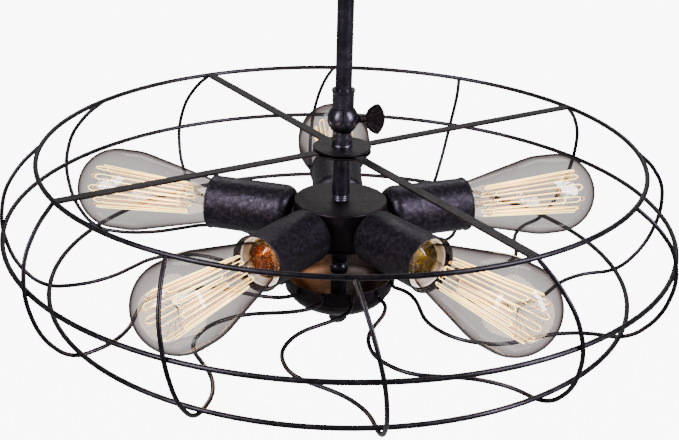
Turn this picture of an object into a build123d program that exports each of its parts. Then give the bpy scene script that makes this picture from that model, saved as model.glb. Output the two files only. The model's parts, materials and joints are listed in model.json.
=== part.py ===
"""Wire-cage ceiling light on a downrod: five bulbs lie on their sides round a hub, inside a
cage of three rings and twelve bent ribs.

Millimetres, +Z up. The origin is on the ceiling plane, at the centre of the mounting bracket,
and the light hangs below it. Heights named *_z inside the cage are measured from the plane of
the middle ring, which lies cage_z below the ceiling.
"""
from build123d import *
import math
import os

# ---------------------------------------------------------------- driving dimensions
cage_z = -380.0             # ceiling plane to the plane of the middle ring

# ceiling bracket and canopy
box_screw_spacing = 88.9    # hole spacing of a standard round ceiling box
box_screw_hole_r = 2.3
bracket_length = 108.0
bracket_width = 20.0
bracket_sheet = 2.0
bracket_dip = 10.0          # the middle of the bracket sits this far below its ears
bracket_ear = 17.0
canopy_r = 60.0
canopy_depth = 26.0
canopy_wall = 1.2
canopy_corner_r = 9.0
stud_x = 24.0
stud_r = 2.0
stud_nut_r = 5.0
collar_r = 11.0
collar_height = 9.0

# downrod and swivel knuckle
rod_r = 6.0
rod_bore_r = 4.5
locknut_flats = 17.0
locknut_height = 5.0
knuckle_z = 76.0            # centre of the ball
knuckle_r = 11.4
knuckle_boss_r = 4.0        # small flat on the ball that the thumbscrew's first bead faces
knuckle_gap = 0.4           # between the two half balls, and round each collar
sleeve_r = 7.9
sleeve_rim_r = 8.5
sleeve_top_z = 98.5
rod_seat_z = 89.0           # shoulder inside the sleeve that the rod stands on
screw_r = 2.0
screw_clearance = 0.05
neck_top_r = 6.9
neck_r = 7.3
pipe_entry = 6.0            # how far the centre pipe screws into the neck
grip_thickness = 2.4        # fan-shaped end of the thumbscrew
grip_half_height = 11.5
grip_length = 14.3
bead_r = 2.9

# cage
ring_wire_r = 1.75
rib_wire_r = 1.5
weld_depth = 0.05           # how far touching wires sink into each other
rib_count = 12
top_ring_r = 219.0
top_ring_z = 53.0
bottom_ring_r = 216.5
floor_z = -53.0             # the level on which the lower half of each rib lies
# Bends of one rib from the top ring down: distance out, distance round, height.
rib_bends = [
    (233.0, 5.5, 41.0),
    (245.5, 12.0, 23.0),
    (249.0, 18.0, -2.0),
    (241.0, 20.5, -31.0),
    (221.0, 19.0, floor_z),
    (192.0, 13.0, floor_z),
    (172.0, -1.0, floor_z),
    (146.0, -37.0, floor_z),
    (116.0, -44.0, floor_z),
    (88.0, -32.0, floor_z),
    (67.0, -3.0, floor_z),
    (55.0, 7.0, floor_z),
]
rib_end_angle = 12.0        # degrees round from the rib's start to where it meets the bowl
bend_share = 0.45           # part of the shorter run that a bend takes up

# top plate: straps between two discs
disc_r = 21.5
disc_sheet = 1.5
strap_width = 7.5
strap_sheet = 1.5
strap_inner_r = 7.5
strap_angles = (30.0, 120.0, 210.0, 300.0)

# centre column
pipe_r = 4.9
pipe_bore_r = 3.6
stem_r = 6.65
stem_thread_r = 6.4
stem_thread_top_z = 18.2
stem_thread_bottom_z = 10.5
thread_pitch = 1.5
thread_depth = 0.5
hub_r = 35.0
hub_top_z = 13.5
hub_joint_z = -13.0
hub_bottom_z = -17.5
hub_wall = 1.5
hub_corner_r = 1.35
cover_lip_r = 35.2
boss_r = 24.0
boss_bottom_z = -21.0
lower_tube_r = 6.0
ball_nut_r = 7.0
ball_nut_z = -42.8
ball_nut_half = 5.6
bowl_r = 41.0
bowl_rim_z = -46.5
bowl_step_z = -58.0
bowl_step = 2.0
bowl_bottom_z = -75.5
bowl_wall = 1.2
finial_r = 7.0
finial_bottom_z = -88.5
pipe_past_bowl = 3.0        # how far the pipe sticks out under the bowl, inside the finial

# sockets and bulbs; distances along an arm are measured from the hub's axis
arm_count = 5
arm_z = -2.5
first_arm_angle = 90.0
nipple_r = 5.0
nipple_start = 27.0
nipple_end = 50.0
cup_r = 20.2
cup_start = 35.8
cup_mouth = 102.5
cup_wall = 1.0
cup_corner_r = 9.0
cup_lip = 0.7
insulator_r = 18.4
insulator_start = 38.0
insulator_mouth = 88.0
skirt_end = 97.0            # the porcelain's rim, close inside the cup's mouth
skirt_bore_r = 16.9
shell_r = 14.4
shell_wall = 0.6
shell_start = 62.0
shell_mouth = 90.5
cap_r = 13.2
cap_bore_r = 11.6
cap_start = 69.0
cap_end = 94.0
glass_wall = 0.8
glass_neck_r = 13.2
glass_shoulder = 103.0      # where the neck's flare gives way to the long cone
glass_shoulder_r = 17.0
bulb_r = 32.0
bulb_tip = 214.5
filament_r = 0.3
filament_near_r = 9.0       # hoop nearest the cap
filament_near = 124.0
filament_far_r = 18.0       # hoop nearest the tip
filament_far = 196.0
strand_count = 12
spoke_count = 3

far = 500.0                 # larger than any part, for cutting solids in half
FROM_BASE = (Align.CENTER, Align.CENTER, Align.MIN)
parts = {}


# ---------------------------------------------------------------- helpers
def turned(outline):
    """Solid of revolution about Z from (radius, height) corners."""
    face = make_face(Plane.XZ * Polyline(*outline, close=True))
    return revolve(face, Axis.Z)


def tube(outer_r, bore_r, bottom, top):
    """Round tube about Z."""
    return turned([(bore_r, bottom), (outer_r, bottom), (outer_r, top), (bore_r, top)])


def spun(outline):
    """Solid of revolution about X from (distance along X, radius) corners."""
    return revolve(make_face(Polyline(*outline, close=True)), Axis.X)


def on_arm(shape, index):
    """Turn a shape built along +X onto arm number index of the hub."""
    angle = first_arm_angle + index * 360 / arm_count
    return Pos(0, 0, arm_z) * Rot(0, 0, angle) * shape


def x_rod(radius, start, end):
    """Round bar along X."""
    return Pos(start, 0, 0) * Rot(0, 90, 0) * Cylinder(radius, end - start, align=FROM_BASE)


def keep(name, shape, in_cage=True):
    """File a finished node; shapes built about the middle ring are lowered to their height."""
    parts[name] = Pos(0, 0, cage_z) * shape if in_cage else shape


# ---------------------------------------------------------------- ceiling end
def make_bracket():
    ear_start = bracket_length / 2 - bracket_ear
    half = [
        (0, -bracket_dip),
        (ear_start - bracket_sheet, -bracket_dip),
        (ear_start - bracket_sheet, 0),
        (bracket_length / 2, 0),
        (bracket_length / 2, -bracket_sheet),
        (ear_start, -bracket_sheet),
        (ear_start, -bracket_dip - bracket_sheet),
        (0, -bracket_dip - bracket_sheet),
    ]
    side = extrude(make_face(Plane.XZ * Polyline(*half, close=True)), bracket_width / 2, both=True)
    bracket = side + mirror(side, Plane.YZ)
    bracket -= Cylinder(rod_r, 4 * bracket_dip)
    for side_x in (-1, 1):
        bracket -= Pos(side_x * box_screw_spacing / 2, 0, 0) * Cylinder(box_screw_hole_r, far)
        bracket -= Pos(side_x * stud_x, 0, 0) * Cylinder(stud_r, far)
    return bracket


def make_canopy():
    outline = FilletPolyline(
        (canopy_r, 0), (canopy_r - 1.5, -canopy_depth), (0, -canopy_depth), radius=canopy_corner_r)
    inner = FilletPolyline(
        (0, -canopy_depth + canopy_wall),
        (canopy_r - 1.5 - canopy_wall, -canopy_depth + canopy_wall),
        (canopy_r - canopy_wall, 0),
        radius=canopy_corner_r - canopy_wall)
    bridge = Line((0, -canopy_depth), (0, -canopy_depth + canopy_wall))
    rim = Line((canopy_r - canopy_wall, 0), (canopy_r, 0))
    canopy = revolve(make_face(Plane.XZ * Wire([*outline.edges(), *bridge.edges(), *inner.edges(),
                                                *rim.edges()])), Axis.Z)
    canopy -= Cylinder(rod_r + 0.2, far)
    for side_x in (-1, 1):
        canopy -= Pos(side_x * stud_x, 0, 0) * Cylinder(stud_r + 0.2, far)
    return canopy


def make_studs():
    top = -bracket_dip + 2.0
    length = canopy_depth + top + 4.0
    stud = Pos(stud_x, 0, top - length) * Cylinder(stud_r, length, align=FROM_BASE)
    return stud + mirror(stud, Plane.YZ)


def make_stud_nuts():
    """Two domed nuts that hold the canopy up on its studs."""
    socket_depth = 4.5
    nut = Sphere(stud_nut_r) & Pos(0, 0, -far / 2 + 1.5) * Box(far, far, far)
    nut = Pos(stud_x, 0, -canopy_depth - 1.5) * nut
    nut -= Pos(stud_x, 0, -canopy_depth - socket_depth) * Cylinder(stud_r, far, align=FROM_BASE)
    return nut + mirror(nut, Plane.YZ)


def make_locknuts():
    """One hexagon nut above the bracket and one below it."""
    flat = extrude(RegularPolygon(locknut_flats / 2, 6, major_radius=False), locknut_height)
    nut = flat - Cylinder(rod_r, far)
    above = Pos(0, 0, -bracket_dip) * nut
    below = Pos(0, 0, -bracket_dip - bracket_sheet - locknut_height) * nut
    return above + below


def make_collar():
    """Stepped collar that slides up the rod and covers the hole in the canopy."""
    top = -canopy_depth
    return turned([
        (rod_r + 0.05, top),
        (collar_r, top),
        (collar_r, top - 2.5),
        (collar_r - 2.0, top - 4.0),
        (collar_r - 2.5, top - collar_height),
        (rod_r + 0.05, top - collar_height),
    ])


def make_downrod():
    return tube(rod_r, rod_bore_r, cage_z + rod_seat_z, -bracket_dip + locknut_height + 1.0)


# ---------------------------------------------------------------- swivel knuckle
def half_ball(radius, start, hole_r=0.0):
    """Ball of the given radius about the origin, kept only beyond start along X, with a hole."""
    edge_r = math.sqrt(radius ** 2 - start ** 2)
    end = math.sqrt(radius ** 2 - hole_r ** 2)
    outline = Wire([
        *Line((start, hole_r), (start, edge_r)).edges(),
        *ThreePointArc((start, edge_r), (radius * 0.6, radius * 0.8), (end, hole_r)).edges(),
        *Line((end, hole_r), (start, hole_r)).edges(),
    ])
    return revolve(make_face(outline), Axis.X)


def make_upper_knuckle():
    """Sleeve on the rod, with the half ball on the thumbscrew's side."""
    sleeve = turned([
        (0, knuckle_z + 6.0),
        (sleeve_r, knuckle_z + 6.0),
        (sleeve_r, sleeve_top_z - 3.0),
        (sleeve_rim_r, sleeve_top_z - 1.5),
        (sleeve_rim_r, sleeve_top_z),
        (rod_r, sleeve_top_z),
        (rod_r, rod_seat_z),
        (0, rod_seat_z),
    ])
    centre = Pos(0, 0, knuckle_z)
    seam = knuckle_gap / 2
    hole_r = screw_r + screw_clearance
    boss = spun([(seam, hole_r), (seam, knuckle_boss_r), (knuckle_r, knuckle_boss_r),
                 (knuckle_r, hole_r)])
    sleeve -= centre * mirror(half_ball(knuckle_r + knuckle_gap, -seam), Plane.YZ)
    return sleeve + centre * half_ball(knuckle_r, seam, hole_r) + centre * boss


def make_lower_knuckle():
    """Neck of the cage, with the other half ball."""
    plate_top = plate_top_z()
    neck_top = knuckle_z - knuckle_r * 0.7
    neck = turned([
        (0, plate_top),
        (neck_r + 0.4, plate_top),
        (neck_r + 0.4, plate_top + 1.2),
        (neck_r, plate_top + 2.0),
        (neck_r, knuckle_z - knuckle_r - 2.5),
        (neck_top_r, knuckle_z - knuckle_r + 0.5),
        (neck_top_r, neck_top),
        (0, neck_top),
    ])
    centre = Pos(0, 0, knuckle_z)
    seam = knuckle_gap / 2
    hole_r = screw_r + screw_clearance
    neck -= centre * half_ball(knuckle_r + knuckle_gap, -seam)
    neck -= Pos(0, 0, plate_top) * Cylinder(pipe_r, 2 * pipe_entry)
    return neck + centre * mirror(half_ball(knuckle_r, seam, hole_r), Plane.YZ)


def make_thumbscrew():
    """Beaded neck and fan-shaped grip; turns about the knuckle's axis."""
    shaft_start = -knuckle_r + 2.5
    bead_start = knuckle_r + 0.1
    grip_start = bead_start + 4.8
    grip_tip_x = grip_start + 0.66 * grip_length
    grip_end = grip_start + grip_length
    screw = x_rod(screw_r, shaft_start, grip_start + 1.0)
    for bead in range(2):
        middle = bead_start + 1.2 + bead * 2.4
        screw += Pos(middle, 0, 0) * Sphere(bead_r) & x_rod(far, middle - 1.1, middle + 1.1)
    grip = make_face(Plane.XZ * Wire([
        *ThreePointArc((grip_start, 2.2), (grip_start + 3.0, 8.0), (grip_tip_x, grip_half_height)).edges(),
        *ThreePointArc((grip_tip_x, grip_half_height), (grip_end, 0), (grip_tip_x, -grip_half_height)).edges(),
        *ThreePointArc((grip_tip_x, -grip_half_height), (grip_start + 3.0, -8.0), (grip_start, -2.2)).edges(),
        *Line((grip_start, -2.2), (grip_start, 2.2)).edges(),
    ]))
    plate = extrude(grip, grip_thickness / 2, both=True)
    for angle in (-50, -30, -10, 10, 30, 50):
        groove = x_rod(0.5, 4.0, far / 10)
        for face_y in (-1, 1):
            spot = Pos(grip_start, face_y * (grip_thickness / 2 + 0.15), 0)
            plate -= spot * Rot(0, angle, 0) * groove
    return Pos(0, 0, knuckle_z) * (screw + plate)


# ---------------------------------------------------------------- cage
def plate_top_z():
    return top_ring_z + strap_sheet / 2 + disc_sheet


def plate_bottom_z():
    return top_ring_z - strap_sheet / 2 - disc_sheet


def rib_route():
    """Bend points of the rib that starts at angle 0, from the top ring to the bowl's rim."""
    ring_centre = Vector(top_ring_r, 0, top_ring_z)
    leaving = (Vector(*rib_bends[0]) - ring_centre).normalized()
    start = ring_centre + leaving * (ring_wire_r - weld_depth)
    end_r = bowl_r + rib_wire_r - weld_depth
    end_x = end_r * math.cos(math.radians(rib_end_angle))
    end_y = end_r * math.sin(math.radians(rib_end_angle))
    return [tuple(start), *rib_bends, (end_x, end_y, floor_z), (end_x, end_y, bowl_rim_z - 0.5)]


def bend_radii(points):
    """The largest radius that each bend has room for."""
    radii = []
    for before, here, after in zip(points, points[1:], points[2:]):
        run_in = Vector(*here) - Vector(*before)
        run_out = Vector(*after) - Vector(*here)
        turn = math.radians(run_in.get_angle(run_out))
        shorter = min(run_in.length, run_out.length)
        radii.append(bend_share * shorter / math.tan(turn / 2))
    return radii


def rib_path():
    points = rib_route()
    return FilletPolyline(*points, radius=bend_radii(points))


def make_rib(path):
    section = Plane(path @ 0, z_dir=path % 0) * Circle(rib_wire_r)
    return sweep(section, path=path)


def touching_rings(path):
    """Radius of the middle ring and height of the bottom ring at which they just meet a rib."""
    touch = ring_wire_r + rib_wire_r - weld_depth
    samples = 2000
    middle_r = math.inf
    bottom_z = -math.inf
    for step in range(samples // 2):
        point = path @ (step / samples)
        out = math.hypot(point.X, point.Y)
        if abs(point.Z) < touch:
            middle_r = min(middle_r, out - math.sqrt(touch ** 2 - point.Z ** 2))
        if abs(out - bottom_ring_r) < touch and point.Z < 0:
            rise = math.sqrt(touch ** 2 - (out - bottom_ring_r) ** 2)
            bottom_z = max(bottom_z, point.Z + rise)
    return middle_r, bottom_z


def make_ring(radius, height):
    return Pos(0, 0, height) * Torus(radius, ring_wire_r)


def make_straps():
    """Four flat straps from the centre plate to the inside of the top ring."""
    end = top_ring_r - ring_wire_r + weld_depth
    strap = Pos((strap_inner_r + end) / 2, 0, top_ring_z) * Box(
        end - strap_inner_r, strap_width, strap_sheet)
    return [Rot(0, 0, angle) * strap for angle in strap_angles]


def make_disc(bottom):
    disc = tube(disc_r, pipe_r, bottom, bottom + disc_sheet)
    outer_edges = disc.edges().filter_by(GeomType.CIRCLE).sort_by(SortBy.RADIUS)[-2:]
    return fillet(outer_edges, disc_sheet * 0.3)


# ---------------------------------------------------------------- centre column
def make_stem():
    """Sleeve between the plate and the hub; its lower end is threaded into the hub's top."""
    outline = [(pipe_r, plate_bottom_z()), (stem_r, plate_bottom_z()), (stem_r, stem_thread_top_z)]
    height = stem_thread_top_z
    while height > stem_thread_bottom_z:
        outline.append((stem_thread_r, height))
        outline.append((stem_thread_r - thread_depth, height - thread_pitch / 2))
        height -= thread_pitch
    outline.append((stem_thread_r - thread_depth, height))
    outline.append((pipe_r, height))
    return turned(outline)


def make_pipe():
    """Threaded pipe that runs from the knuckle to the finial and holds the stack together."""
    return tube(pipe_r, pipe_bore_r, bowl_bottom_z - pipe_past_bowl, plate_top_z() + pipe_entry - 0.2)


def make_hub_body():
    stem_hole = stem_thread_r
    body = turned([
        (stem_hole, hub_top_z),
        (hub_r, hub_top_z),
        (hub_r, hub_joint_z),
        (hub_r - hub_wall, hub_joint_z),
        (hub_r - hub_wall, hub_top_z - hub_wall),
        (stem_hole, hub_top_z - hub_wall),
    ])
    rim = body.edges().filter_by(GeomType.CIRCLE).group_by(Axis.Z)[-1].sort_by(SortBy.RADIUS)[-1]
    body = fillet(rim, hub_corner_r)
    for index in range(arm_count):
        body -= on_arm(x_rod(nipple_r, nipple_start, cup_start), index)
    return body


def make_hub_cover():
    """Ridged lid under the hub, with a boss round the pipe."""
    return turned([
        (pipe_r, hub_joint_z - 1.2),
        (hub_r - hub_wall - 0.2, hub_joint_z - 1.2),
        (hub_r - hub_wall - 0.2, hub_joint_z),
        (cover_lip_r, hub_joint_z),
        (cover_lip_r, hub_joint_z - 1.4),
        (hub_r - 0.5, hub_joint_z - 1.9),
        (cover_lip_r, hub_joint_z - 2.4),
        (cover_lip_r, hub_bottom_z + 0.6),
        (cover_lip_r - 0.8, hub_bottom_z),
        (boss_r, hub_bottom_z),
        (boss_r - 2.0, boss_bottom_z),
        (pipe_r, boss_bottom_z),
    ])


def bowl_floor_z(radius):
    """Height of the inside of the dome at a distance from the axis."""
    depth = bowl_step_z - bowl_bottom_z - bowl_wall
    return bowl_step_z - depth * math.sqrt(1 - (radius / (bowl_r - bowl_step - bowl_wall)) ** 2)


def make_lower_tubes():
    """Spacer tubes above and below the ball nut."""
    upper = tube(lower_tube_r, pipe_r, ball_nut_z + ball_nut_half, boss_bottom_z)
    lower = tube(lower_tube_r, pipe_r, bowl_floor_z(lower_tube_r), ball_nut_z - ball_nut_half)
    return [upper, lower]


def make_ball_nut():
    ball = Pos(0, 0, ball_nut_z) * (Sphere(ball_nut_r) & Box(far, far, 2 * ball_nut_half))
    return ball - Cylinder(pipe_r, far)


def dome_arc(inset):
    """Quarter ellipse of the bowl's dome, from its bottom centre out to the step."""
    depth = bowl_step_z - bowl_bottom_z
    return EllipticalCenterArc((0, bowl_step_z), bowl_r - bowl_step - inset, depth - inset,
                               start_angle=270, arc_size=90)


def make_bowl():
    """Open bowl: an upright band, a small step, then a shallow dome."""
    dome_r = bowl_r - bowl_step
    band = Polyline(
        (dome_r, bowl_step_z),
        (bowl_r, bowl_step_z),
        (bowl_r, bowl_rim_z),
        (bowl_r - bowl_wall, bowl_rim_z),
        (bowl_r - bowl_wall, bowl_step_z + bowl_wall),
        (dome_r - bowl_wall, bowl_step_z + bowl_wall),
        (dome_r - bowl_wall, bowl_step_z),
    )
    centre = Line((0, bowl_bottom_z), (0, bowl_bottom_z + bowl_wall))
    outline = Wire([*dome_arc(0).edges(), *band.edges(), *dome_arc(bowl_wall).edges(),
                    *centre.edges()])
    return revolve(make_face(Plane.XZ * outline), Axis.Z) - Cylinder(pipe_r, far)


def dome_solid():
    """The outside of the bowl's dome, as a solid that the finial is cut to."""
    outline = Wire([
        *dome_arc(0).edges(),
        *Line((bowl_r - bowl_step, bowl_step_z), (0, bowl_step_z)).edges(),
        *Line((0, bowl_step_z), (0, bowl_bottom_z)).edges(),
    ])
    return revolve(make_face(Plane.XZ * outline), Axis.Z)


def make_finial():
    """Knurled nut that closes the pipe and holds the bowl up against the stack."""
    head_top = bowl_bottom_z + 0.8
    finial = turned([
        (0, head_top),
        (finial_r + 1.5, head_top),
        (finial_r + 1.5, head_top - 1.8),
        (finial_r, head_top - 2.4),
        (finial_r, finial_bottom_z + 2.5),
        (finial_r - 2.5, finial_bottom_z),
        (0, finial_bottom_z),
    ])
    pipe_hole = Pos(0, 0, bowl_bottom_z - pipe_past_bowl) * Cylinder(pipe_r, far, align=FROM_BASE)
    return finial - dome_solid() - pipe_hole


# ---------------------------------------------------------------- sockets and bulbs, along +X
def make_nipple():
    """Threaded nipple with the spacer that stands the cup off the hub, and its nut inside."""
    bar = spun([
        (nipple_start, pipe_bore_r),
        (nipple_start, nipple_r),
        (hub_r + 0.3, nipple_r),
        (hub_r + 0.3, nipple_r + 3.0),
        (cup_start, nipple_r + 3.0),
        (cup_start, nipple_r),
        (nipple_end, nipple_r),
        (nipple_end, pipe_bore_r),
    ])
    nut_start = hub_r - hub_wall - 1.5 - 3.0
    nut = extrude(RegularPolygon(7.5, 6, major_radius=False), 3.0)
    nut = Pos(nut_start, 0, 0) * Rot(0, 90, 0) * nut
    return bar + (nut - x_rod(nipple_r - 0.5, 0, far))


def make_cup():
    outer = FilletPolyline((cup_start, 0), (cup_start, cup_r), (cup_mouth, cup_r), radius=cup_corner_r)
    inner_r = cup_r - cup_wall
    inner = FilletPolyline((cup_mouth, inner_r), (cup_start + cup_wall, inner_r),
                           (cup_start + cup_wall, 0), radius=cup_corner_r - cup_wall)
    mouth = Line((cup_mouth, cup_r), (cup_mouth, inner_r))
    back = Line((cup_start + cup_wall, 0), (cup_start, 0))
    outline = Wire([*outer.edges(), *mouth.edges(), *inner.edges(), *back.edges()])
    cup = revolve(make_face(outline), Axis.X)
    cup += spun([
        (cup_mouth - 2 * cup_lip, cup_r - 0.1),
        (cup_mouth - 2 * cup_lip, cup_r + cup_lip),
        (cup_mouth, cup_r + cup_lip),
        (cup_mouth, cup_r - 0.1),
    ])
    return cup - x_rod(nipple_r, 0, cup_start + 2.0)


def make_insulator():
    """Porcelain body: a floor that the contact sits on, and a deep mouth round the shell."""
    bore_r = shell_r
    return spun([
        (insulator_start, nipple_r + 0.3),
        (insulator_start, insulator_r - 4.0),
        (insulator_start + 7.0, insulator_r - 1.0),
        (insulator_mouth - 6.0, insulator_r - 1.0),
        (insulator_mouth - 5.0, insulator_r),
        (skirt_end, insulator_r),
        (skirt_end, skirt_bore_r),
        (insulator_mouth, skirt_bore_r),
        (insulator_mouth, bore_r),
        (shell_start, bore_r),
        (shell_start, 0),
        (nipple_end + 1.0, 0),
        (nipple_end + 1.0, nipple_r + 0.3),
    ])


def make_shell():
    """Brass screw shell, with a rolled lip that stands proud of the porcelain."""
    bore_r = shell_r - shell_wall
    return spun([
        (shell_start + 0.1, bore_r - 3.0),
        (shell_start + 0.1, shell_r),
        (insulator_mouth + 0.1, shell_r),
        (insulator_mouth + 0.1, shell_r + 1.0),
        (shell_mouth, shell_r + 0.6),
        (shell_mouth, bore_r),
        (shell_start + 0.1 + shell_wall, bore_r),
        (shell_start + 0.1 + shell_wall, bore_r - 3.0),
    ])


def make_contact():
    """Sprung tongue that the foot of the bulb presses on."""
    return spun([
        (shell_start, 0),
        (shell_start, 6.0),
        (shell_start + 0.8, 6.0),
        (shell_start + 2.0, 3.5),
        (cap_start - 0.6, 3.0),
        (cap_start - 0.2, 0),
    ])


def make_cap():
    """Screw cap of the bulb: black foot with its contact, then a ribbed sleeve."""
    thread_start = cap_start + 6.0
    outline = [(cap_start, 0), (cap_start, 4.0), (cap_start + 1.0, 5.0), (cap_start + 4.0, 10.5)]
    position = thread_start
    while position < cap_end - 6.0:
        outline.append((position, cap_r - 0.9))
        outline.append((position + 1.2, cap_r - 0.1))
        outline.append((position + 2.0, cap_r - 0.1))
        position += 3.2
    outline.append((cap_end - 5.0, cap_r - 0.6))
    outline.append((cap_end, cap_r))
    outline.append((cap_end, cap_bore_r))
    outline.append((cap_start + 5.0, cap_bore_r - 2.0))
    outline.append((cap_start + 5.0, 0))
    return spun(outline)


def glass_outline(inset):
    """Half outline of the envelope, from its neck to its tip, moved in by inset."""
    shoulder = bulb_tip - bulb_r
    neck_r = glass_neck_r - inset
    wide_r = bulb_r - inset
    side = FilletPolyline(
        (cap_end, neck_r),
        (glass_shoulder, glass_shoulder_r - inset),
        (shoulder - 17.0, wide_r),
        (shoulder, wide_r),
        radius=[12.0, 55.0])
    dome = CenterArc((shoulder, 0), wide_r, 90, -90)
    return [*side.edges(), *dome.edges()]


def make_glass():
    outer = glass_outline(0)
    inner = glass_outline(glass_wall)
    neck = Line((cap_end, glass_neck_r - glass_wall), (cap_end, glass_neck_r))
    tip = Line((bulb_tip, 0), (bulb_tip - glass_wall, 0))
    outline = Wire([*neck.edges(), *outer, *tip.edges(), *inner])
    return revolve(make_face(outline), Axis.X)


def make_filament():
    """Glass stem and rod, a small hoop, a large hoop, and the straight strands between them."""
    stem_start = cap_end + 0.5
    pieces = [spun([
        (stem_start, 0),
        (stem_start, 9.0),
        (stem_start + 8.0, 4.5),
        (filament_near - 6.0, 3.5),
        (filament_near - 3.0, 1.4),
        (filament_far + 2.0, 1.2),
        (filament_far + 2.0, 0),
    ])]
    for position, hoop_r in ((filament_near, filament_near_r), (filament_far, filament_far_r)):
        pieces.append(Pos(position, 0, 0) * Rot(0, 90, 0) * Torus(hoop_r, 2 * filament_r))
        for spoke in range(spoke_count):
            arm = Cylinder(filament_r, hoop_r, align=FROM_BASE)
            pieces.append(Pos(position, 0, 0) * Rot(spoke * 360 / spoke_count + 18, 0, 0) * arm)
    run = filament_far - filament_near
    rise = filament_far_r - filament_near_r
    slope = math.degrees(math.atan2(rise, run))
    bar = x_rod(filament_r, 0, math.hypot(run, rise))
    strand = Pos(filament_near, 0, filament_near_r) * Rot(0, -slope, 0) * bar
    for number in range(strand_count):
        pieces.append(Rot(number * 360 / strand_count, 0, 0) * strand)
    return Part() + pieces


# ---------------------------------------------------------------- assembly
def build_ceiling_end():
    keep("ceiling_bracket", make_bracket(), in_cage=False)
    keep("canopy", make_canopy(), in_cage=False)
    keep("canopy_studs", make_studs(), in_cage=False)
    keep("canopy_nuts", make_stud_nuts(), in_cage=False)
    keep("rod_locknuts", make_locknuts(), in_cage=False)
    keep("canopy_collar", make_collar(), in_cage=False)
    keep("downrod", make_downrod(), in_cage=False)
    keep("upper_knuckle", make_upper_knuckle())
    keep("thumbscrew", make_thumbscrew())
    keep("lower_knuckle", make_lower_knuckle())


def build_cage():
    path = rib_path()
    rib = make_rib(path)
    middle_ring_r, bottom_ring_z = touching_rings(path)
    keep("top_ring", make_ring(top_ring_r, top_ring_z))
    keep("middle_ring", make_ring(middle_ring_r, 0))
    keep("bottom_ring", make_ring(bottom_ring_r, bottom_ring_z))
    for index in range(rib_count):
        keep(f"rib_{index + 1:02d}", Rot(0, 0, index * 360 / rib_count) * rib)
    keep("top_straps", Compound(children=make_straps()))
    keep("top_disc", make_disc(plate_top_z() - disc_sheet))
    keep("lower_disc", make_disc(plate_bottom_z()))
    print("rib length", round(path.length, 1), "volume over section times length",
          round(rib.volume / (math.pi * rib_wire_r ** 2 * path.length), 4),
          "smallest bend", round(min(bend_radii(rib_route())), 1),
          "middle ring radius", round(middle_ring_r, 2), "bottom ring height", round(bottom_ring_z, 2))


def build_column():
    keep("stem_tube", make_stem())
    keep("centre_pipe", make_pipe())
    keep("hub_body", make_hub_body())
    keep("hub_cover", make_hub_cover())
    keep("lower_tubes", Compound(children=make_lower_tubes()))
    keep("ball_nut", make_ball_nut())
    keep("bowl", make_bowl())
    keep("finial", make_finial())


def build_lamps():
    single = {
        "socket_cup": make_cup(),
        "bulb_glass": make_glass(),
        "bulb_cap": make_cap(),
        "bulb_filament": make_filament(),
    }
    grouped = {
        "socket_nipples": make_nipple(),
        "socket_insulators": make_insulator(),
        "screw_shells": make_shell(),
        "centre_contacts": make_contact(),
    }
    for name, shape in single.items():
        for index in range(arm_count):
            keep(f"{name}_{index + 1}", on_arm(shape, index))
    for name, shape in grouped.items():
        keep(name, Compound(children=[on_arm(shape, index) for index in range(arm_count)]))


def main():
    build_ceiling_end()
    build_cage()
    build_column()
    build_lamps()
    os.makedirs("parts", exist_ok=True)
    for name, shape in parts.items():
        export_step(shape, f"parts/{name}.step")
    print(len(parts), "nodes written")


main()
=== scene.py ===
"""Looks for the caged ceiling light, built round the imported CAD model. Metres, +Z up."""
import json
import math
import random

import bmesh
import bpy
from mathutils import Matrix, Vector


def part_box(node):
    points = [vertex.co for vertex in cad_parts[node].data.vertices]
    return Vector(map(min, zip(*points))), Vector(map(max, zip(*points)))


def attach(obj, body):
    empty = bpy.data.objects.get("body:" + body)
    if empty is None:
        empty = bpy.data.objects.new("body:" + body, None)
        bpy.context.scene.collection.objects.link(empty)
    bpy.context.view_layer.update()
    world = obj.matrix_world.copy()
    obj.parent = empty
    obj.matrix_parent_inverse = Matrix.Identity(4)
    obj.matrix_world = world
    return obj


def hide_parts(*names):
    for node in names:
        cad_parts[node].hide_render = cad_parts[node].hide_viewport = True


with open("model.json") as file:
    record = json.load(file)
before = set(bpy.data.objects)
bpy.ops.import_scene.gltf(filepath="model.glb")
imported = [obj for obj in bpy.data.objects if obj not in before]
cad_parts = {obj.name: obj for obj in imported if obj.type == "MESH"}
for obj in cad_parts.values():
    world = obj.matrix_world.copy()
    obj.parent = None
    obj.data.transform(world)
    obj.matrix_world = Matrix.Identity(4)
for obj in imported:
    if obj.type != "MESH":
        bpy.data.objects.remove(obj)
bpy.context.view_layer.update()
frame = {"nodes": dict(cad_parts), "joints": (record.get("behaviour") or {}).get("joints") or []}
nodes = frame["nodes"]

MM = 0.001
BULBS = range(1, 6)

# The camera looks at the centre of the cage from a little above. Metres and degrees.
VIEW_DISTANCE = 0.907
VIEW_ELEVATION = 22.6
VIEW_AZIMUTH = -2.4
VIEW_ROLL = 1.5
LENS_MM = 64.0
SENSOR_MM = 36.0
SHIFT_X = -0.0012
SHIFT_Y = -0.0072
FLOOR_BELOW_CEILING = 1.9

# Lengths along an arm, in millimetres from the hub's axis; the cup's own come from the frame.
GLASS_NECK_START = 94.0
GLASS_SHOULDER = 103.0
GLASS_SHOULDER_R = 17.0
GLASS_NECK_R = 13.2
GLASS_WALL = 0.8
BULB_R = 32.0
BULB_TIP = 214.5
FILAMENT_NEAR = 124.0
FILAMENT_FAR = 196.0
FILAMENT_NEAR_R = 12.0
FILAMENT_FAR_R = 17.0
FILAMENT_WIRE_R = 0.3
FILAMENT_FOLDS = 11
HOOK_WIRE_R = 0.15
WIRE_SIDES = 4                   # bevel resolution of every drawn wire

# Brightness of the backdrop to the camera, and to the camera through a bulb, and of the room.
BACKDROP = 9.0
BACKDROP_THROUGH_GLASS = 0.75
ROOM = 0.22

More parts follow.
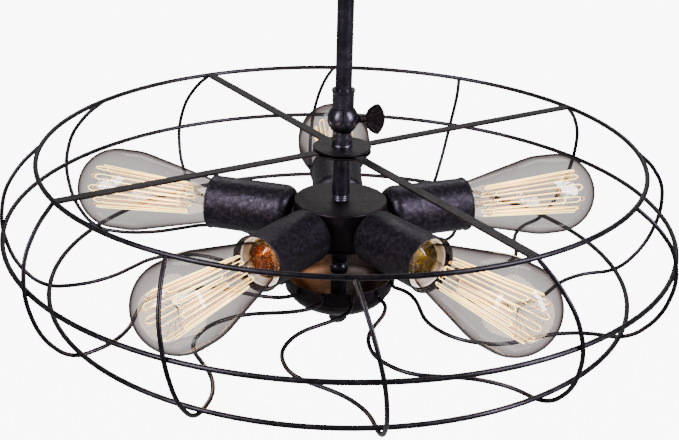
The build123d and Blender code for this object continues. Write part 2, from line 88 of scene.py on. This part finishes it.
# The lamps' own light: watts each, softness in metres, and millimetres along the arm.
GLOW_POWER = 0.24
GLOW_SIZE = 0.02
GLOW_ALONG = 150.0


# ---------------------------------------------------------------- where things are
def centre(node):
    low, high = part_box(node)
    return (low + high) / 2


cage_centre = centre("middle_ring")
arm_height = centre("socket_cup_1").z
bulb_axes = {joint["child"]: Vector(joint["axis"]) for joint in frame["joints"]
             if joint["type"] == "slide"}


def arm_matrix(index):
    """Maps millimetres along an arm (local X) into the frame."""
    axis = bulb_axes[f"bulb_{index}"]
    turn = Matrix.Rotation(math.atan2(axis.y, axis.x), 4, "Z")
    return Matrix.Translation((0, 0, arm_height)) @ turn @ Matrix.Scale(MM, 4)


def column_matrix():
    """Maps millimetres along local X to height above the middle ring."""
    stand = Matrix.Rotation(-math.pi / 2, 4, "Y")
    return Matrix.Translation((0, 0, cage_centre.z)) @ stand @ Matrix.Scale(MM, 4)


# ---------------------------------------------------------------- mesh helpers
def rounded(corners, radii, steps=10):
    """Outline through corners, with each inner corner replaced by an arc of its radius."""
    outline = [Vector(corners[0])]
    for before, here, after, radius in zip(corners, corners[1:], corners[2:], radii):
        here = Vector(here)
        back = (Vector(before) - here).normalized()
        ahead = (Vector(after) - here).normalized()
        half = back.angle(ahead) / 2
        if radius == 0:
            outline.append(here)
            continue
        start = here + back * radius / math.tan(half)
        middle = here + (back + ahead).normalized() * radius / math.sin(half)
        arm = start - middle
        sweep = math.pi - 2 * half
        sign = 1 if back.x * ahead.y - back.y * ahead.x < 0 else -1
        for step in range(steps + 1):
            turn = Matrix.Rotation(sign * sweep * step / steps, 2)
            outline.append(middle + turn @ arm)
    outline.append(Vector(corners[-1]))
    return outline


def arc(middle, radius, start, end, steps):
    """Points on a circle, angles in degrees."""
    points = []
    for step in range(steps + 1):
        angle = math.radians(start + (end - start) * step / steps)
        points.append(Vector((middle[0] + radius * math.cos(angle),
                              middle[1] + radius * math.sin(angle))))
    return points


def finish_mesh(name, mesh_data, place, materials, sharp_angle=35.0):
    """Turn a bmesh into a shaded object: smooth faces, sharp edges only where it really bends."""
    bmesh.ops.recalc_face_normals(mesh_data, faces=mesh_data.faces)
    for face in mesh_data.faces:
        face.smooth = True
    for edge in mesh_data.edges:
        if len(edge.link_faces) == 2:
            edge.smooth = edge.calc_face_angle(0.0) < math.radians(sharp_angle)
    mesh = bpy.data.meshes.new(name)
    mesh_data.to_mesh(mesh)
    mesh_data.free()
    mesh.transform(place)
    for material in materials:
        mesh.materials.append(material)
    piece = bpy.data.objects.new(name, mesh)
    bpy.context.scene.collection.objects.link(piece)
    return piece


def lathe(name, outline, place, materials, segments=96, inner_from=None, closed=True):
    """Revolve an outline of (along, radius) points about local X.

    Spans from number inner_from onwards take the second material."""
    mesh_data = bmesh.new()
    rings = []
    for along, radius in outline:
        if radius < 1e-4:
            rings.append([mesh_data.verts.new((along, 0, 0))])
            continue
        ring = []
        for step in range(segments):
            angle = 2 * math.pi * step / segments
            around = (radius * math.cos(angle), radius * math.sin(angle))
            ring.append(mesh_data.verts.new((along, *around)))
        rings.append(ring)
    spans = list(zip(rings, rings[1:]))
    if closed:
        spans.append((rings[-1], rings[0]))
    for number, (first, second) in enumerate(spans):
        if len(first) == 1 and len(second) == 1:
            continue
        for step in range(segments):
            after = (step + 1) % segments
            if len(first) == 1:
                corners = (first[0], second[step], second[after])
            elif len(second) == 1:
                corners = (first[step], second[0], first[after])
            else:
                corners = (first[step], second[step], second[after], first[after])
            face = mesh_data.faces.new(corners)
            if inner_from is not None and number >= inner_from:
                face.material_index = 1
    return finish_mesh(name, mesh_data, place, materials)


def wires(name, routes, radius, place, material, cyclic=False):
    """Round wires along routes of points, as one curve object."""
    curve = bpy.data.curves.new(name, "CURVE")
    curve.dimensions = "3D"
    curve.bevel_depth = radius * MM
    curve.bevel_resolution = WIRE_SIDES
    curve.use_fill_caps = True
    for route in routes:
        spline = curve.splines.new("POLY")
        spline.points.add(len(route) - 1)
        for point, here in zip(spline.points, route):
            point.co = (*(place @ Vector(here)), 1.0)
        spline.use_cyclic_u = cyclic
    curve.materials.append(material)
    piece = bpy.data.objects.new(name, curve)
    bpy.context.scene.collection.objects.link(piece)
    return piece


# ---------------------------------------------------------------- materials
class Shader:
    """A material with its Principled node and short calls for the nodes that feed it."""

    def __init__(self, name):
        self.material = bpy.data.materials.new(name)
        self.material.use_nodes = True
        self.tree = self.material.node_tree
        self.surface = self.tree.nodes["Principled BSDF"]
        self.place = self.add("ShaderNodeTexCoord").outputs["Object"]

    def add(self, kind, **settings):
        node = self.tree.nodes.new(kind)
        for key, value in settings.items():
            setattr(node, key, value)
        return node

    def link(self, source, target):
        self.tree.links.new(source, target)

    def fixed(self, **values):
        for key, value in values.items():
            self.surface.inputs[key.replace("_", " ")].default_value = value

    def noise(self, scale, detail=4.0, roughness=0.55):
        node = self.add("ShaderNodeTexNoise")
        node.inputs["Scale"].default_value = scale
        node.inputs["Detail"].default_value = detail
        node.inputs["Roughness"].default_value = roughness
        self.link(self.place, node.inputs["Vector"])
        return node.outputs["Fac"]

    def ramp(self, factor, *stops):
        node = self.add("ShaderNodeValToRGB")
        elements = node.color_ramp.elements
        while len(elements) < len(stops):
            elements.new(0.5)
        for element, (position, colour) in zip(elements, stops):
            element.position = position
            element.color = (*colour, 1.0)
        self.link(factor, node.inputs["Fac"])
        return node.outputs["Color"]

    def spread(self, factor, low, high, start=0.3, end=0.7):
        node = self.add("ShaderNodeMapRange")
        node.inputs["From Min"].default_value = start
        node.inputs["From Max"].default_value = end
        node.inputs["To Min"].default_value = low
        node.inputs["To Max"].default_value = high
        self.link(factor, node.inputs["Value"])
        return node.outputs["Result"]

    def bump(self, height, distance, strength=1.0, under=None):
        node = self.add("ShaderNodeBump")
        node.inputs["Distance"].default_value = distance
        node.inputs["Strength"].default_value = strength
        self.link(height, node.inputs["Height"])
        if under is not None:
            self.link(under, node.inputs["Normal"])
        self.link(node.outputs["Normal"], self.surface.inputs["Normal"])
        return node.outputs["Normal"]


def antique_black(name, dark, light, gloss, grain):
    """Near-black metal with a violet-grey bloom, rubbed lighter in patches."""
    shader = Shader(name)
    patches = shader.noise(55.0, detail=6.0)
    colour = shader.ramp(patches, (0.3, dark), (0.72, light))
    shader.link(colour, shader.surface.inputs["Base Color"])
    shader.link(shader.spread(shader.noise(220.0), gloss - 0.07, gloss + 0.1),
                shader.surface.inputs["Roughness"])
    shader.bump(shader.noise(1500.0, detail=3.0), grain * MM, 0.6)
    shader.fixed(Metallic=0.9, Specular_IOR_Level=0.5)
    return shader.material


def plain_metal(name, colour, worn, roughness, scale=300.0):
    """Bare or plated metal with faint drawing marks."""
    shader = Shader(name)
    shader.link(shader.ramp(shader.noise(scale), (0.35, colour), (0.7, worn)),
                shader.surface.inputs["Base Color"])
    shader.link(shader.spread(shader.noise(scale * 2), roughness - 0.05, roughness + 0.12),
                shader.surface.inputs["Roughness"])
    shader.bump(shader.noise(scale * 5), 0.02 * MM, 0.5)
    shader.fixed(Metallic=1.0)
    return shader.material


def coppery_bowl_painted_glow(name):
    """Coppery inside of the bowl, with painted light: bright and warm on one side as painted glow,
    dark on the other as painted shade.
    """
    shader = Shader(name)
    patches = shader.noise(120.0, detail=6.0)
    # Painted light: the bright warm colour is painted glow, the dark colour painted shade, blended
    # from one side of the bowl to the other.
    painted_glow_side = shader.ramp(patches, (0.3, (0.13, 0.052, 0.012)), (0.7, (0.24, 0.10, 0.026)))
    painted_shade_side = shader.ramp(patches, (0.3, (0.035, 0.025, 0.021)), (0.7, (0.07, 0.052, 0.044)))
    across = shader.add("ShaderNodeSeparateXYZ")
    shader.link(shader.place, across.inputs["Vector"])
    blend = shader.add("ShaderNodeMix", data_type="RGBA")
    shader.link(shader.spread(across.outputs["X"], 0.0, 1.0, -0.028, 0.004), blend.inputs[0])
    shader.link(painted_glow_side, blend.inputs[6])
    shader.link(painted_shade_side, blend.inputs[7])
    shader.link(blend.outputs[2], shader.surface.inputs["Base Color"])
    shader.link(shader.spread(shader.noise(220.0), 0.48, 0.62), shader.surface.inputs["Roughness"])
    shader.bump(shader.noise(1500.0, detail=3.0), 0.05 * MM, 0.6)
    shader.fixed(Metallic=0.8)
    return shader.material


def brushed_cup(name):
    """Dark cup metal: mottled bloom over coarse and fine noise bumps."""
    shader = Shader(name)
    patches = shader.noise(300.0, detail=8.0, roughness=0.75)
    colour = shader.ramp(patches, (0.3, (0.006, 0.004, 0.006)), (0.5, (0.017, 0.0135, 0.019)),
                         (0.72, (0.068, 0.055, 0.076)))
    shader.link(colour, shader.surface.inputs["Base Color"])
    shader.link(shader.spread(shader.noise(400.0, detail=6.0), 0.3, 0.52),
                shader.surface.inputs["Roughness"])
    coarse = shader.bump(shader.noise(420.0, detail=6.0, roughness=0.7), 0.25 * MM, 0.8)
    shader.bump(shader.noise(1800.0, detail=3.0), 0.06 * MM, 0.7, under=coarse)
    shader.fixed(Metallic=0.85)
    return shader.material


def porcelain(name):
    shader = Shader(name)
    glaze = shader.ramp(shader.noise(120.0), (0.35, (0.86, 0.85, 0.82)), (0.7, (0.93, 0.92, 0.89)))
    shader.link(glaze, shader.surface.inputs["Base Color"])
    shader.link(shader.spread(shader.noise(600.0), 0.18, 0.3), shader.surface.inputs["Roughness"])
    shader.bump(shader.noise(500.0), 0.02 * MM, 0.3)
    shader.fixed(Coat_Weight=0.4, Coat_Roughness=0.08)
    return shader.material


def smoked_glass(name):
    """One skin of thin blown glass: smoke-tinted, darker and glossier towards its outline."""
    shader = Shader(name)
    facing = shader.add("ShaderNodeLayerWeight")
    facing.inputs["Blend"].default_value = 0.5
    gloss = shader.ramp(facing.outputs["Facing"], (0.0, (0.04, 0.04, 0.04)),
                        (0.6, (0.06, 0.06, 0.06)), (0.9, (0.16, 0.16, 0.16)),
                        (1.0, (0.4, 0.4, 0.4)))
    film = shader.add("ShaderNodeBsdfTransparent")
    mix = shader.add("ShaderNodeMixShader")
    smoke = shader.ramp(facing.outputs["Facing"], (0.0, (0.95, 0.935, 0.92)),
                        (0.35, (0.87, 0.84, 0.825)), (0.57, (0.74, 0.70, 0.685)),
                        (0.69, (0.5, 0.44, 0.43)), (0.77, (0.13, 0.09, 0.08)),
                        (1.0, (0.03, 0.02, 0.018)))
    shader.link(smoke, film.inputs["Color"])
    shader.fixed(Base_Color=(0.9, 0.9, 0.9, 1.0), Roughness=0.05, Metallic=1.0)
    shader.bump(shader.noise(40.0, detail=1.0), 0.1 * MM, 0.15)
    shader.link(gloss, mix.inputs["Fac"])
    shader.link(film.outputs["BSDF"], mix.inputs[1])
    shader.link(shader.surface.outputs["BSDF"], mix.inputs[2])
    output = shader.tree.nodes["Material Output"]
    shader.link(mix.outputs["Shader"], output.inputs["Surface"])
    return shader.material


def glowing(name, colour, strength):
    shader = Shader(name)
    brighter = tuple(min(1, part * 1.15) for part in colour)
    shader.link(shader.ramp(shader.noise(400.0), (0.3, colour), (0.7, brighter)),
                shader.surface.inputs["Emission Color"])
    shader.fixed(Base_Color=(*colour, 1.0), Emission_Strength=strength, Roughness=0.5)
    return shader.material


wire_black = antique_black("wire_black", (0.006, 0.005, 0.006), (0.026, 0.022, 0.027), 0.36, 0.006)
strap_black = antique_black("strap_black", (0.0055, 0.004, 0.0045), (0.023, 0.016, 0.019),
                            0.42, 0.05)
column_black = antique_black("column_black", (0.010, 0.009, 0.012), (0.055, 0.048, 0.064),
                             0.3, 0.03)
cup_black = brushed_cup("cup_black")
bowl_inside = coppery_bowl_painted_glow("bowl_inside")
zinc = plain_metal("zinc", (0.55, 0.55, 0.56), (0.7, 0.7, 0.7), 0.35)
brass = plain_metal("brass", (0.62, 0.42, 0.14), (0.78, 0.58, 0.25), 0.25)
cap_brass = plain_metal("cap_brass", (0.55, 0.30, 0.10), (0.8, 0.52, 0.22), 0.2, scale=140.0)
# A yellower copy of the cap brass for one bulb's cap: painted light, since the five caps are the
# same brass.
painted_light_cap_brass = plain_metal("painted_light_cap_brass", (0.42, 0.34, 0.05), (0.7, 0.62, 0.2), 0.2, scale=140.0)
white_porcelain = porcelain("white_porcelain")
bulb_glass = smoked_glass("bulb_glass")
filament_glow = glowing("filament_glow", (1.0, 0.76, 0.26), 4.5)
filament_ember = glowing("filament_ember", (1.0, 0.47, 0.09), 1.1)
support_metal = plain_metal("support_metal", (0.16, 0.1, 0.06), (0.25, 0.18, 0.12), 0.6)


# ---------------------------------------------------------------- pieces
def dress(material, *names):
    for name in names:
        mesh = nodes[name].data
        mesh.materials.clear()
        mesh.materials.append(material)


def dress_cad_nodes():
    dress(wire_black, "top_ring", "middle_ring", "bottom_ring",
          *(f"rib_{number:02d}" for number in range(1, 13)))
    dress(strap_black, "top_straps", "top_disc", "lower_disc", "hub_body", "hub_cover",
          "thumbscrew")
    dress(column_black, "downrod", "upper_knuckle", "lower_knuckle", "stem_tube", "lower_tubes",
          "ball_nut", "finial", "canopy", "canopy_collar", "canopy_nuts")
    dress(zinc, "ceiling_bracket", "canopy_studs", "rod_locknuts", "centre_pipe",
          "socket_nipples")
    dress(white_porcelain, "socket_insulators")
    dress(brass, "screw_shells", "centre_contacts")
    dress(cap_brass, *(f"bulb_cap_{number}" for number in BULBS))
    # Bulb 4's cap takes the yellower copy: painted light.
    dress(painted_light_cap_brass, "bulb_cap_4")


def cup_outline():
    """Outside from the hub's end to the lip, then the inside back.

    The second value is the point's number where it turns."""
    low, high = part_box("socket_cup_1")
    start = low.y / MM
    mouth = high.y / MM
    lip_r = high.x / MM
    wall_r = lip_r - 0.7
    inner_r = wall_r - 1.0
    outside = rounded([(start, 5.0), (start, wall_r), (mouth - 2.0, wall_r)], [9.0])
    lip = [Vector((mouth - 1.6, wall_r + 0.1)), *arc((mouth - 0.8, lip_r - 0.7), 0.7, 120, -60, 8)]
    inside = rounded([(mouth - 1.2, inner_r), (start + 1.0, inner_r), (start + 1.0, 5.0)], [8.0])
    return outside + lip + inside, len(outside) + len(lip)


def build_cup(number):
    outline, turn = cup_outline()
    cup = lathe(f"cup_{number}", outline, arm_matrix(number), [cup_black, strap_black],
                inner_from=turn)
    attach(cup, "cage")
    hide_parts(f"socket_cup_{number}")


def glass_side(inset):
    shoulder = BULB_TIP - BULB_R
    neck_r = GLASS_NECK_R - inset
    wide_r = BULB_R - inset
    side = rounded([(GLASS_NECK_START, neck_r), (GLASS_SHOULDER, GLASS_SHOULDER_R - inset),
                    (shoulder - 17.0, wide_r), (shoulder, wide_r)], [12.0, 55.0], steps=14)
    return side[:-1] + arc((shoulder, 0), wide_r, 90, 0, 28)


def build_glass(number):
    outline = glass_side(GLASS_WALL / 2)
    outline[-1].y = 0
    glass = lathe(f"glass_{number}", outline, arm_matrix(number), [bulb_glass], closed=False)
    glass.visible_shadow = False
    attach(glass, f"bulb_{number}")
    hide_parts(f"bulb_glass_{number}")


def polar(along, radius, angle):
    return (along, radius * math.cos(angle), radius * math.sin(angle))


def filament_route(draw, turn, inset):
    """One long zigzag: out to the big hoop, round part of it, and back to the small hoop."""
    route = []
    step = 2 * math.pi / FILAMENT_FOLDS
    for fold in range(FILAMENT_FOLDS):
        angle = turn + fold * step
        near = FILAMENT_NEAR + draw.uniform(-4.0, 3.0)
        far = FILAMENT_FAR + draw.uniform(-3.0, 1.5)
        out = FILAMENT_FAR_R - inset
        start = FILAMENT_NEAR_R - inset * 0.5
        route.append(polar(near, start, angle - 0.12))
        route.append(polar(near - 0.8, start, angle))
        route.append(polar(near, start, angle + 0.12))
        for share in (0.27, 0.36, 0.5, 0.64, 0.73):
            bulge = 3.0 * math.sin(math.pi * (share - 0.27) / 0.46)
            route.append(polar(far + bulge, out, angle + step * share))
    return route


def support_routes():
    """Lead-in wires, and the fine hooks that hold each fold."""
    routes = []
    for side in (-1, 1):
        routes.append([(GLASS_NECK_START + 2, side * 4.0, 0), (GLASS_NECK_START + 8, side * 2.5, 0),
                       (FILAMENT_NEAR, side * FILAMENT_NEAR_R, 0)])
    step = 2 * math.pi / FILAMENT_FOLDS
    for fold in range(FILAMENT_FOLDS):
        angle = (fold + 0.5) * step
        routes.append([(FILAMENT_FAR - 12, 1.0, 0), polar(FILAMENT_FAR - 4, 8.0, angle),
                       polar(FILAMENT_FAR + 2.8, FILAMENT_FAR_R + 0.2, angle)])
        near_angle = fold * step
        routes.append([(FILAMENT_NEAR + 5, 1.5, 0),
                       polar(FILAMENT_NEAR - 0.8, FILAMENT_NEAR_R + 0.2, near_angle)])
    return routes


def build_filament(number):
    draw = random.Random(number)
    place = arm_matrix(number)
    strands = wires(f"filament_{number}", [filament_route(draw, 0.0, 0.0)], FILAMENT_WIRE_R, place,
                    filament_glow, cyclic=True)
    embers = wires(f"filament_embers_{number}", [filament_route(draw, 0.05, 1.2)],
                   FILAMENT_WIRE_R, place, filament_ember, cyclic=True)
    hooks = wires(f"filament_hooks_{number}", support_routes(), HOOK_WIRE_R, place,
                  support_metal)
    stem = rounded([(GLASS_NECK_START + 0.5, 11.0), (GLASS_NECK_START + 5, 6.0),
                    (FILAMENT_NEAR - 6, 3.2), (FILAMENT_NEAR, 1.4), (FILAMENT_FAR - 12, 1.3),
                    (FILAMENT_FAR - 10, 0.0)], [4.0, 6.0, 3.0, 0.8])
    stem_piece = lathe(f"bulb_stem_{number}", stem, place, [bulb_glass], segments=32, closed=False)
    stem_piece.visible_shadow = False
    for piece in (strands, embers, hooks, stem_piece):
        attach(piece, f"bulb_{number}")
        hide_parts(f"bulb_filament_{number}")
    for piece in (strands, embers):
        piece.visible_diffuse = False
        piece.visible_glossy = False


def build_bowl():
    """Open bowl with a lit coppery inside."""
    low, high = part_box("bowl")
    rim_r = high.x / MM
    rim = (high.z - cage_centre.z) / MM
    bottom = (low.z - cage_centre.z) / MM
    step = rim - 11.5
    dome_r = rim_r - 2.0
    wall = 1.2
    hole_r = 4.9

    def dome(inset):
        points = []
        for count in range(21):
            angle = math.pi / 2 * count / 20
            points.append(Vector((step - (step - bottom - inset) * math.cos(angle),
                                  (dome_r - inset) * math.sin(angle))))
        return [point for point in points if point.y > hole_r + 0.5]

    outside = [Vector((bottom, hole_r)), *dome(0), Vector((step, rim_r - 0.6)),
               Vector((step + 0.5, rim_r)), Vector((rim - 0.5, rim_r))]
    lip = arc((rim - 0.5, rim_r - wall / 2), wall / 2, 90, -90, 8)
    lip = [Vector((rim - 0.5 + (point.x - rim + 0.5) * 0.8, point.y)) for point in lip]
    inside = [Vector((step + wall, rim_r - wall)), *reversed(dome(wall)),
              Vector((bottom + wall, hole_r))]
    bowl = lathe("lower_bowl", outside + lip[1:] + inside, column_matrix(),
                 [strap_black, bowl_inside], inner_from=len(outside) + 5)
    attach(bowl, "cage")
    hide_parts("bowl")


# ---------------------------------------------------------------- stage, lights, camera
def backdrop_strength(tree):
    """White to the camera, less so through a bulb, and only as bright as the room to the rest."""
    def math_node(operation, first, second):
        node = tree.nodes.new("ShaderNodeMath")
        node.operation = operation
        for socket, value in zip(node.inputs, (first, second)):
            if isinstance(value, (int, float)):
                socket.default_value = value
            else:
                tree.links.new(value, socket)
        return node.outputs["Value"]

    path = tree.nodes.new("ShaderNodeLightPath")
    through = math_node("GREATER_THAN", path.outputs["Transparent Depth"], 0.5)
    dimming = math_node("MULTIPLY", through, BACKDROP - BACKDROP_THROUGH_GLASS)
    seen = math_node("SUBTRACT", BACKDROP - ROOM, dimming)
    return math_node("ADD", math_node("MULTIPLY", seen, path.outputs["Is Camera Ray"]), ROOM)


def build_floor():
    mesh = bpy.data.meshes.new("floor")
    size = 14.0
    level = -FLOOR_BELOW_CEILING
    corners = [(-size, -size, level), (size, -size, level),
               (size, size, level), (-size, size, level)]
    mesh.from_pydata(corners, [], [(0, 1, 2, 3)])
    shader = Shader("floor_white")
    pale = shader.ramp(shader.noise(0.6), (0.3, (0.30, 0.30, 0.30)), (0.7, (0.33, 0.33, 0.33)))
    shader.link(pale, shader.surface.inputs["Base Color"])
    shader.link(backdrop_strength(shader.tree), shader.surface.inputs["Emission Strength"])
    shader.fixed(Roughness=0.9, Emission_Color=(1.0, 1.0, 1.0, 1.0))
    mesh.materials.append(shader.material)
    floor = bpy.data.objects.new("floor", mesh)
    bpy.context.scene.collection.objects.link(floor)


def area_light(name, place, size, power, colour=(1, 1, 1)):
    data = bpy.data.lights.new(name, "AREA")
    data.shape = "RECTANGLE"
    data.size, data.size_y = size
    data.energy = power
    data.color = colour
    light = bpy.data.objects.new(name, data)
    light.location = place
    aim = cage_centre - Vector(place)
    light.rotation_euler = aim.to_track_quat("-Z", "Y").to_euler()
    bpy.context.scene.collection.objects.link(light)


def glow_light(number):
    """Soft warm light from the filament, on the cup's mouth and the wires near it."""
    data = bpy.data.lights.new(f"glow_{number}", "POINT")
    data.energy = GLOW_POWER
    data.color = (1.0, 0.78, 0.55)
    data.shadow_soft_size = GLOW_SIZE
    light = bpy.data.objects.new(f"glow_{number}", data)
    light.location = arm_matrix(number) @ Vector((GLOW_ALONG, 0, 0))
    bpy.context.scene.collection.objects.link(light)


def light_scene():
    world = bpy.data.worlds.new("studio")
    bpy.context.scene.world = world
    world.use_nodes = True
    background = world.node_tree.nodes["Background"]
    background.inputs["Color"].default_value = (1, 1, 1, 1)
    world.node_tree.links.new(backdrop_strength(world.node_tree), background.inputs["Strength"])
    area_light("key_left", (-1.1, -0.9, 0.5), (0.35, 1.1), 55.0, (0.93, 0.92, 1.0))
    area_light("key_right", (1.2, -0.7, 0.35), (0.3, 1.1), 60.0, (0.88, 0.86, 1.0))
    area_light("back_top", (0.2, 1.3, 0.7), (1.4, 0.4), 8.0)
    for number in BULBS:
        glow_light(number)


def place_camera():
    azimuth = math.radians(VIEW_AZIMUTH)
    elevation = math.radians(VIEW_ELEVATION)
    away = Vector((math.sin(azimuth) * math.cos(elevation),
                   -math.cos(azimuth) * math.cos(elevation),
                   math.sin(elevation)))
    data = bpy.data.cameras.new("camera")
    data.lens = LENS_MM
    data.sensor_width = SENSOR_MM
    data.shift_x = SHIFT_X
    data.shift_y = SHIFT_Y
    camera = bpy.data.objects.new("camera", data)
    look = (-away).to_track_quat("-Z", "Y").to_matrix().to_4x4()
    roll = Matrix.Rotation(math.radians(VIEW_ROLL), 4, "Z")
    camera.matrix_world = Matrix.Translation(cage_centre + away * VIEW_DISTANCE) @ look @ roll
    bpy.context.scene.collection.objects.link(camera)
    bpy.context.scene.camera = camera


dress_cad_nodes()
for bulb_number in BULBS:
    build_cup(bulb_number)
    build_glass(bulb_number)
    build_filament(bulb_number)
build_bowl()
build_floor()
light_scene()
place_camera()
